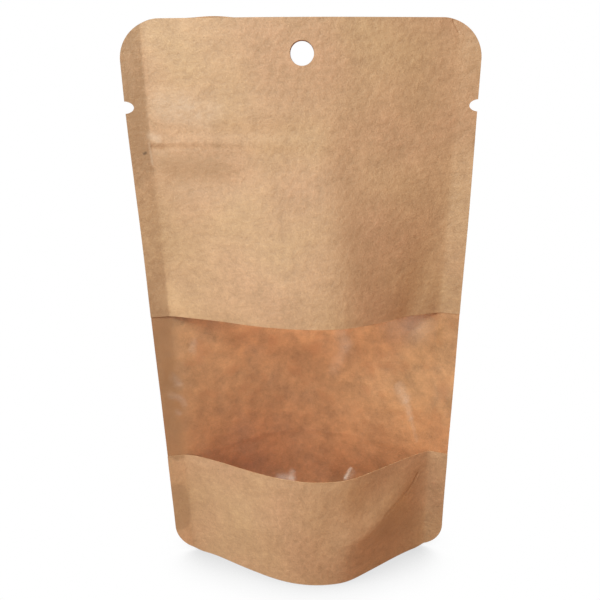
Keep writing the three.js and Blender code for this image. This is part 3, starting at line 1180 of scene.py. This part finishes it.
class POUCH_OT_studio(bpy.types.Operator):
    """Makes the pale floor, the soft lights and the camera"""

    bl_idname = "pouch.studio"
    bl_label = "Studio"

    FLOOR_RADIUS = 3.0
    CAMERA_PLACE = (0.003227, -0.261298, 0.182108)
    CAMERA_LOOK = (0.018554, 0.957593, -0.287528)
    CAMERA_ROLL = -0.31  # degrees
    CAMERA_FOCUS = 750  # in pixels of the picture
    CAMERA_ASIDE = 28.4  # pixels from the picture's middle to the lens axis
    SENSOR = 36.0
    ROOM_LIGHT = (0.66, 0.43, 0.285, 1.0)
    # name, place, aim, size, watts, colour. The glow stands inside the pouch, for the light
    # that comes through the paper.
    LAMPS = [
        ("key", (-0.134, -0.232, 0.325), (0, 0, 0.10), 0.16, 1.2, (0.60, 0.86, 1.0)),
        ("side", (-1.12, -0.41, 0.20), (0, 0, 0.10), 0.60, 5.4, (0.70, 0.92, 1.0)),
        ("behind", (0.35, 1.10, 0.45), (0, 0, 0.10), 0.60, 9.0, (0.80, 0.95, 1.0)),
        ("glow", (0.000, -0.003, 0.106), (-0.004, 0.06, 0.058), 0.036, 0.011, (1.0, 0.97, 0.92)),
    ]

    def lamp(self, name, place, aim, size, power, colour):
        data = bpy.data.lights.new(name, "AREA")
        data.shape = "DISK"
        data.size = size
        data.energy = power
        data.color = colour
        lamp = bpy.data.objects.new(name, data)
        bpy.context.scene.collection.objects.link(lamp)
        lamp.location = place
        lamp.visible_camera = False
        lamp.rotation_mode = "QUATERNION"
        lamp.rotation_quaternion = (Vector(aim) - Vector(place)).to_track_quat("-Z", "Y")
        return lamp

    def floor(self, colours):
        """A wide flat disc, so that no edge of it shows."""
        bpy.ops.object.select_all(action="DESELECT")
        bpy.ops.mesh.primitive_circle_add(
            vertices=96, radius=self.FLOOR_RADIUS, fill_type="TRIFAN", location=(0, 0, -0.0002)
        )
        floor = bpy.context.object
        floor.name = "studio_floor"
        bpy.ops.object.transform_apply(location=True, rotation=False, scale=False)
        floor.data.materials.append(floor_finish(colours))

    def camera(self):
        data = bpy.data.cameras.new("camera")
        data.sensor_width = self.SENSOR
        data.lens = self.SENSOR * self.CAMERA_FOCUS / PICTURE_PIXELS
        data.shift_x = -self.CAMERA_ASIDE / PICTURE_PIXELS
        data.clip_start = 0.01
        camera = bpy.data.objects.new("camera", data)
        bpy.context.scene.collection.objects.link(camera)
        look = Vector(self.CAMERA_LOOK).normalized()
        right = Vector((look.y, -look.x, 0)).normalized()
        up = right.cross(look)
        turn = math.radians(self.CAMERA_ROLL)
        rolled_right = math.cos(turn) * right + math.sin(turn) * up
        rolled_up = math.cos(turn) * up - math.sin(turn) * right
        axes = Matrix((rolled_right, rolled_up, -look)).transposed().to_4x4()
        camera.matrix_world = Matrix.Translation(self.CAMERA_PLACE) @ axes
        bpy.context.scene.camera = camera

    def sky(self):
        """A pale backdrop for the camera, over the room's dimmer, warmer light."""
        world = bpy.data.worlds.new("pale_room")
        world.use_nodes = True
        tree = world.node_tree
        room = tree.nodes["Background"]
        room.inputs["Color"].default_value = self.ROOM_LIGHT
        backdrop = tree.nodes.new("ShaderNodeBackground")
        backdrop.inputs["Color"].default_value = (1.0, 1.0, 1.0, 1.0)
        camera = tree.nodes.new("ShaderNodeLightPath")
        mix = tree.nodes.new("ShaderNodeMixShader")
        tree.links.new(camera.outputs["Is Camera Ray"], mix.inputs["Fac"])
        tree.links.new(room.outputs[0], mix.inputs[1])
        tree.links.new(backdrop.outputs[0], mix.inputs[2])
        tree.links.new(mix.outputs[0], tree.nodes["World Output"].inputs["Surface"])
        bpy.context.scene.world = world

    def execute(self, context):
        self.floor(context.scene.pouch_colours)
        self.sky()
        for lamp in self.LAMPS:
            self.lamp(*lamp)
        self.camera()
        context.scene.view_settings.view_transform = "Standard"
        context.scene.view_settings.look = "None"
        return {"FINISHED"}


OPERATORS = [
    POUCH_OT_front_kraft,
    POUCH_OT_window_film,
    POUCH_OT_back_kraft,
    POUCH_OT_gusset,
    POUCH_OT_zip,
    POUCH_OT_studio,
]


class POUCH_PT_panel(bpy.types.Panel):
    """Lists the pouch's sizes, colours and pieces"""

    bl_idname = "POUCH_PT_panel"
    bl_label = "Kraft stand-up pouch"
    bl_space_type = "VIEW_3D"
    bl_region_type = "UI"
    bl_category = "Pouch"

    def draw(self, context):
        for group in (context.scene.pouch_sizes, context.scene.pouch_colours):
            box = self.layout.box()
            for name in group.bl_rna.properties.keys():
                if name not in ("rna_type", "name"):
                    box.prop(group, name)
        for operator in OPERATORS:
            self.layout.operator(operator.bl_idname)


CLASSES = [PouchSizes, PouchColours, *OPERATORS, POUCH_PT_panel]


def register():
    for cls in CLASSES:
        bpy.utils.register_class(cls)
    bpy.types.Scene.pouch_sizes = PointerProperty(type=PouchSizes)
    bpy.types.Scene.pouch_colours = PointerProperty(type=PouchColours)


def unregister():
    del bpy.types.Scene.pouch_sizes
    del bpy.types.Scene.pouch_colours
    for cls in reversed(CLASSES):
        bpy.utils.unregister_class(cls)


def main():
    register()
    bpy.ops.pouch.front_kraft()
    bpy.ops.pouch.window_film()
    bpy.ops.pouch.back_kraft()
    bpy.ops.pouch.gusset()
    bpy.ops.pouch.zip()
    bpy.ops.pouch.studio()


if __name__ == "__main__":
    main()
